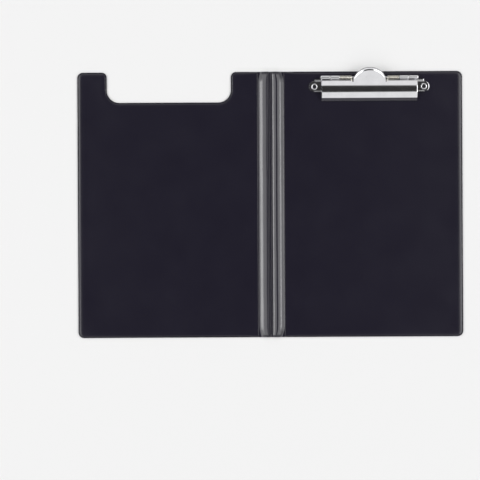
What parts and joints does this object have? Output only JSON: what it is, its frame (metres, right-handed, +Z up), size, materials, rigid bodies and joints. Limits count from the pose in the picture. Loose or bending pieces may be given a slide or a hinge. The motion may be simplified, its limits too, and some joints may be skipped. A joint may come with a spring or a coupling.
{
  "type": "clipboard folder",
  "caption": "Folding clipboard with a welded vinyl cover over stiff boards, a sprung lever clip on the back panel and a matching cut-out in the front cover.",
  "frame": {"origin": "middle of the open folder's outline, on the surface that it lies on", "axes": "+X from the front cover to the back panel, +Y to the clip end, +Z up from the table"},
  "size_m": [0.4612, 0.3216, 0.0213],
  "materials": {
    "outer_vinyl": "fine leather grain, low sheen",
    "inner_vinyl": "smooth satin",
    "board": "matt greyboard",
    "clip_steel": "bright nickel plate",
    "pin_steel": "plated wire",
    "spring_wire": "plated spring wire",
    "eyelet_steel": "bright nickel plate"
  },
  "bodies": {
    "back_panel": {"back_outer_sheet": "outer_vinyl", "back_board": "board", "back_inner_sheet": "inner_vinyl", "clip_base": "clip_steel", "hinge_pin": "pin_steel", "spring_left": "spring_wire", "spring_right": "spring_wire", "eyelet_left": "eyelet_steel", "eyelet_right": "eyelet_steel"},
    "back_strip": {"back_strip_outer_sheet": "outer_vinyl", "back_strip_inner_sheet": "inner_vinyl"},
    "front_strip": {"front_strip_outer_sheet": "outer_vinyl", "front_strip_inner_sheet": "inner_vinyl"},
    "front_cover": {"front_outer_sheet": "outer_vinyl", "front_board": "board", "front_inner_sheet": "inner_vinyl"},
    "clip_jaw": {"clip_lever": "clip_steel"}
  },
  "joints": [
    {"name": "back_crease_rise", "type": "slide", "parent": "back_panel", "child": "back_strip", "axis": [0, 0, 1], "range_m": [-0.0016, 0.0016]},
    {"name": "spine_fold", "type": "hinge", "parent": "back_strip", "child": "front_strip", "pos_m": [-0.0006, -0.00192, 0.00133], "axis": [0, 1, 0], "range_deg": [-160, 180], "deforming": ["back_strip_inner_sheet", "front_strip_inner_sheet"]},
    {"name": "front_crease_rise", "type": "slide", "parent": "front_strip", "child": "front_cover", "axis": [0, 0, 1], "range_m": [-0.0016, 0.0016]},
    {"name": "clip_hinge", "type": "hinge", "parent": "back_panel", "child": "clip_jaw", "pos_m": [0.1191, 0.14908, 0.0084], "axis": [-1, 0, 0], "range_deg": [0, 33], "stiffness_Nm_per_rad": 0.15, "springref_deg": -57.3, "deforming": ["spring_left", "spring_right"]}
  ],
  "couplings": [
    {"joint": "back_crease_rise", "follows": "spine_fold", "m_per_rad": 0.00050134},
    {"joint": "front_crease_rise", "follows": "spine_fold", "m_per_rad": -0.00050134}
  ]
}
